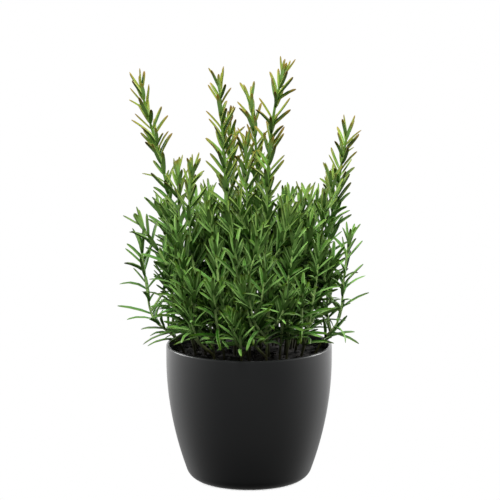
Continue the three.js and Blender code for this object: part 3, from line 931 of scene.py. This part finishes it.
# %% The parts of a needle
def needle_parts(add, green, blade, height, felt):
    """Lays the middle line's painted shade, pale rims with painted highlight, the felt and straw ends on the
    green.
    """
    across, along, _ = blade
    aside = add("Math", [across], operation="ABSOLUTE")
    # painted shade: the sunken middle line is painted darker, towards #162c05
    groove_shade = add("MapRange", [aside, 0, 0.45, 0.6, 0])
    dark = add("Mix", {"Factor": groove_shade, "A": green, "B": linear("#162c05")}, data_type="RGBA")
    # the rims are paler: partly the rolled edges' own colour, partly a painted highlight; straw-gold high up
    edge = add("MapRange", [aside, 0.45, 0.95, 0, 0.75])
    rim_and_highlight_colour = add("ValToRGB", {"Fac": height}, stops=[(0.0, "#88a964"), (1.0, "#94882f")])
    rim = add("Mix", {"Factor": edge, "A": dark, "B": rim_and_highlight_colour}, data_type="RGBA")
    sides = add("Mix", {"Factor": felt, "A": rim, "B": linear("#749a50")}, data_type="RGBA")
    ripe = add("MapRange", [height, 0.3, 1, 0.1, 0.8])
    end = add("MapRange", [along, 0.62, 0.95, 0, ripe])
    return add("Mix", {"Factor": end, "A": sides, "B": linear("#86692a")}, data_type="RGBA")


# %% Rosemary needle
def split_mark(add, name):
    """The three values of a mark that each point keeps."""
    mark = add("Attribute", attribute_name=name).outputs["Vector"]
    return add("SeparateXYZ", [mark]).outputs


def rosemary_needle():
    material, add, shader = new_material("waxy_rosemary_needle")
    blade = split_mark(add, "blade")
    tone, youth, crowd = split_mark(add, "growth")
    place = add("TexCoord").outputs["Object"]
    z = add("SeparateXYZ", [place]).outputs["Z"]
    height = add("MapRange", [z, SHADE_TOP * MM, LIGHT_FROM * MM])
    felt = add("MapRange", [blade[2], 0.32, 0.4])
    parts = needle_parts(add, needle_green(add, tone, youth, height), blade, height, felt)
    mottle = add("TexNoise", {"Vector": place, "Scale": 1 / (4 * MM), "Detail": 2})
    spots = add("MapRange", [mottle, 0, 1, 0.8, 1.3])
    mottled = add("Mix", {"Factor": 1.0, "A": parts, "B": spots}, data_type="RGBA", blend_type="MULTIPLY")
    # painted shade: the more crowded a needle's place, the darker its colour is painted, towards #183006
    painted_shade = add("MapRange", [crowd, 0.35, 1, 0, 0.85])
    colour = add("Mix", {"Factor": painted_shade, "A": mottled, "B": linear("#183006")}, data_type="RGBA")
    gloss = add("MapRange", [felt, 0, 1, 0.38, 0.85])
    feed(shader, {"Base Color": colour, "Roughness": gloss, "IOR": 1.45, "Specular IOR Level": 0.18})
    return material


# %% Rosemary stem
def rosemary_stem():
    material, add, shader = new_material("rosemary_stem_bark")
    _, youth, _ = split_mark(add, "growth")
    place = add("TexCoord").outputs["Object"]
    stretched = add("Mapping", {"Vector": place, "Scale": (1, 1, 0.25)})
    cracks = add("TexNoise", {"Vector": stretched, "Scale": 1 / (1.5 * MM), "Detail": 4})
    barks = [(0.0, "#2c2916"), (0.07, "#4a4c2a"), (0.2, "#a4bf7a"), (0.5, "#98b96a"), (1.0, "#5c7e32")]
    colour = add("ValToRGB", {"Fac": youth}, stops=barks)
    shade = add("MapRange", [cracks, 0, 1, 0.55, 1.3])
    streaked = add("Mix", {"Factor": 1.0, "A": colour, "B": shade}, data_type="RGBA", blend_type="MULTIPLY")
    bump = add("Bump", {"Height": cracks, "Strength": 0.5, "Distance": 0.3 * MM})
    feed(shader, {"Base Color": streaked, "Normal": bump, "Roughness": 0.75})
    return material


# %% Make the leafy stems
needle_leaf = rosemary_needle()
stem_wood = rosemary_stem()
faces = 0
for plant in plants:
    piece = leafy_stem(plant)
    finish_piece(piece, "leafy_" + plant["name"], plant["name"])
    faces += len(piece.data.polygons)
print("leafy stems:", len(plants), "faces:", faces)

# %% [markdown]
# ## The soil
#
# Potting compost is dark peat with crumbs and bits of bark. Its top is a disc of fine mesh, lifted by the
# same gentle waves as the solid and a little uneven from point to point. Its side follows the pot's wall.

# %% The soil's body
SOIL_GAP = 0.3
SOIL_SIDES = 96
SOIL_RINGS = 30
SOIL_CRUMBLE = 1.2  # how uneven its top is between one point and the next
inset = POT_WALL + SOIL_GAP
soil_edge = wall_radius(SOIL_TOP) - inset
soil_outline = (
    corner(POT_FLOOR + SOIL_GAP, INNER_CORNER_TOP, inset, steps=4)
    + belly(INNER_CORNER_TOP, inset, steps=8)
    + [(soil_edge * share, SOIL_TOP) for share in (1, *np.linspace(0.97, 0.03, SOIL_RINGS))]
)
soil = raise_rings(soil_outline, SOIL_SIDES)


def soil_wave(x, y):
    return SOIL_BUMP * (math.sin(0.19 * x + 0.6) * math.cos(0.16 * y) + 0.5 * math.sin(0.37 * x - 0.29 * y))


for vertex in soil.data.vertices:
    x, y, z = vertex.co / MM
    if z > SOIL_TOP - 0.01 and math.hypot(x, y) < 0.98 * soil_edge:
        crumble = SOIL_CRUMBLE * (chance(round(7 * x), round(7 * y)) - 0.5)
        vertex.co.z = (SOIL_TOP + soil_wave(x, y) + crumble) * MM
print("soil faces:", len(soil.data.polygons))

# %% [markdown]
# Crumbs of peat and chips of bark lie on it. Three shapes are modelled once, as squashed and roughened
# balls, and scattered in a spiral that fills the disc evenly, each with its own turn, length and size.

# %% Model three crumbs
def model_crumb(seed, squash):
    """A crumb's points and faces."""
    deselect_all()
    bpy.ops.mesh.primitive_ico_sphere_add(subdivisions=2, radius=1)
    crumb = bpy.context.object
    for i, vertex in enumerate(crumb.data.vertices):
        vertex.co *= 0.75 + 0.5 * chance(i, seed)
        vertex.co.z *= squash
    return take_shape(crumb)


crumb_shapes = [model_crumb(1, 0.75), model_crumb(2, 0.5), model_crumb(3, 0.35)]
print("crumb faces:", len(crumb_shapes[0][1]))

# %% Scatter them over the soil
CRUMBS = 220
CRUMB_TURN = 2.39996  # the golden angle in radians, so that no two crumbs line up
CRUMB_EDGE = 3.5  # room left at the pot's wall


def lay_crumb(i):
    """The points of crumb i, at its place on the soil."""
    x, y, z = crumb_shapes[i % 3][0].T
    radius = (soil_edge - CRUMB_EDGE) * math.sqrt((i + 0.5) / CRUMBS)
    place_x, place_y = radius * math.cos(CRUMB_TURN * i), radius * math.sin(CRUMB_TURN * i)
    size = 0.7 + 1.6 * chance(i, 31) ** 2
    spin = 6.283 * chance(i, 32)  # up to a full turn
    x = x * (1 + 1.2 * chance(i, 33))
    cos, sin = math.cos(spin), math.sin(spin)
    turned = np.stack([x * cos - y * sin, x * sin + y * cos, z], axis=1)
    return turned * size + [place_x, place_y, SOIL_TOP + soil_wave(place_x, place_y) + 0.3 * size]


crumb_points = np.concatenate([lay_crumb(i) for i in range(CRUMBS)])
corners = len(crumb_shapes[0][0])
crumb_faces = [[corners * i + v for v in face] for i in range(CRUMBS) for face in crumb_shapes[i % 3][1]]
join_into(soil, mesh_object("crumbs", crumb_points, crumb_faces), smooth_angle=35)
print("soil faces with crumbs:", len(soil.data.polygons))


# %% Peat compost
def peat():
    material, add, shader = new_material("peat_compost")
    place = add("TexCoord").outputs["Object"]
    grains = add("TexNoise", {"Vector": place, "Scale": 1 / (2.5 * MM), "Detail": 6, "Roughness": 0.7})
    clods = add("TexVoronoi", {"Vector": place, "Scale": 1 / (4 * MM)})
    mixed = add("Math", [grains, clods], operation="MULTIPLY")
    colour = add("ValToRGB", {"Fac": mixed}, stops=[(0.05, "#070504"), (0.3, "#130f0a"), (0.6, "#261c13")])
    bump = add("Bump", {"Height": mixed, "Strength": 0.8, "Distance": 1.0 * MM})
    feed(shader, {"Base Color": colour, "Normal": bump, "Roughness": 0.95})
    return material


soil.data.materials.append(peat())
finish_piece(soil, "peat_soil", "soil")
print("finished:", soil.name)

# %% [markdown]
# ## The studio
#
# The plant stands on pale paper in front of a white sweep. The sweep behind and beside the plant is bright,
# and the room behind the camera is dim, so the pot's front stays dark while its edges mirror the white.
# Matt surfaces get about half of the room's light and shiny ones mirror a dark ceiling, which keeps the
# bush deep and the pot's lip dark. The camera sees plain white all round.

# %% Paper under the pot
deselect_all()
bpy.ops.mesh.primitive_circle_add(vertices=96, radius=2.5, fill_type="NGON")
floor = bpy.context.object
floor.name = "studio_floor"


def paper_sweep():
    """White paper that fades into the white of the room away from the pot."""
    material, add, shader = new_material("white_paper_sweep")
    feed(shader, {"Base Color": linear("#f6f6f6"), "Roughness": 0.9})
    away = add("VectorMath", [add("TexCoord").outputs["Object"]], operation="LENGTH")
    fade = add("MapRange", [away, 34 * MM, 48 * MM], interpolation_type="SMOOTHSTEP")
    mix = add("MixShader", [fade, shader, add("BsdfTransparent")])
    feed(material.node_tree.nodes["Material Output"], {"Surface": mix})
    return material


floor.data.materials.append(paper_sweep())


# %% The room's light
def room_light(add, y, z):
    """The bright sweep behind, darker towards the table, plus the dim room all round."""
    behind = add("MapRange", [y, -0.9, 0.85, 0, 1.65], interpolation_type="SMOOTHSTEP")
    above = add("MapRange", [z, -0.62, 0, 0.08])
    far = add("MapRange", [y, 0.5, 0.85, 1, 0.3])
    table = add("MapRange", [z, -0.32, -0.22, far])
    low = add("Math", [above, table], operation="MULTIPLY")
    sweep = add("Math", [behind, low], operation="MULTIPLY")
    dim = add("MapRange", [z, -0.9, -0.6, 0.03, 0.26])
    return add("Math", [sweep, dim], operation="ADD")


def studio_world():
    world = bpy.data.worlds.new("studio")
    world.use_nodes = True
    add = partial(add_node, world.node_tree)
    _, y, z = add("SeparateXYZ", [add("TexCoord").outputs["Generated"]]).outputs
    ray = add("LightPath").outputs
    ceiling = add("MapRange", [ray["Is Glossy Ray"], 0, 1, 1, 0.15])
    overhead = add("MapRange", [z, 0.6, 0.9, 1, ceiling])
    matt = add("MapRange", [ray["Is Diffuse Ray"], 0, 1, 1, 0.46])
    light = add("Math", [room_light(add, y, z), overhead], operation="MULTIPLY")
    seen = add("Math", [light, matt], operation="MULTIPLY")
    level = add("Mix", {"Factor": ray["Is Camera Ray"], "A": seen, "B": 1.0}, data_type="FLOAT")
    feed(world.node_tree.nodes["Background"], {"Strength": level, "Color": (1, 1, 1, 1)})
    return world


bpy.context.scene.world = studio_world()

# %% [markdown]
# One softbox hangs in front of the plant, high up, and lights the leaves. It isn't mirrored, or it would
# show as a spot on the pot. Two small ones stand behind it at its sides and give the pot's lip its glints.

# %% Softboxes
def softbox(name, place, size, watts):
    bpy.ops.object.light_add(type="AREA", location=place)
    light = bpy.context.object
    light.name = name
    light.data.size = size
    light.data.energy = watts
    light.rotation_euler = (Vector((0, 0, 0.2)) - Vector(place)).to_track_quat("-Z", "Y").to_euler()
    return light


softbox("softbox_top", (-0.15, -0.9, 1.8), 1.0, 66).visible_glossy = False
softbox("softbox_left", (-1.25, 0.6, 0.8), 0.5, 18)
softbox("softbox_right", (1.25, 0.6, 0.8), 0.5, 19)

# %% [markdown]
# ## The camera
#
# The picture was taken from a little above the rim with a long lens: the rim shows as a narrow ellipse,
# whose height over its width gives the angle.

# %% Camera
CAMERA_DISTANCE = 2.4
CAMERA_PITCH = math.radians(10.5)
FRAME_WIDTH = 0.4217  # what the picture's width covers at the pot's axis
LOOK_AT = Vector((0.0008, 0, 0.1976))
SENSOR_WIDTH = 36

away = CAMERA_DISTANCE * Vector((0, -math.cos(CAMERA_PITCH), math.sin(CAMERA_PITCH)))
bpy.ops.object.camera_add(location=LOOK_AT + away)
camera = bpy.context.object
camera.rotation_euler = (-away).to_track_quat("-Z", "Y").to_euler()
camera.data.sensor_width = SENSOR_WIDTH
camera.data.lens = SENSOR_WIDTH * CAMERA_DISTANCE / FRAME_WIDTH
bpy.context.scene.camera = camera
bpy.context.scene.view_settings.view_transform = "Standard"
print(f"lens: {camera.data.lens:.0f} mm")
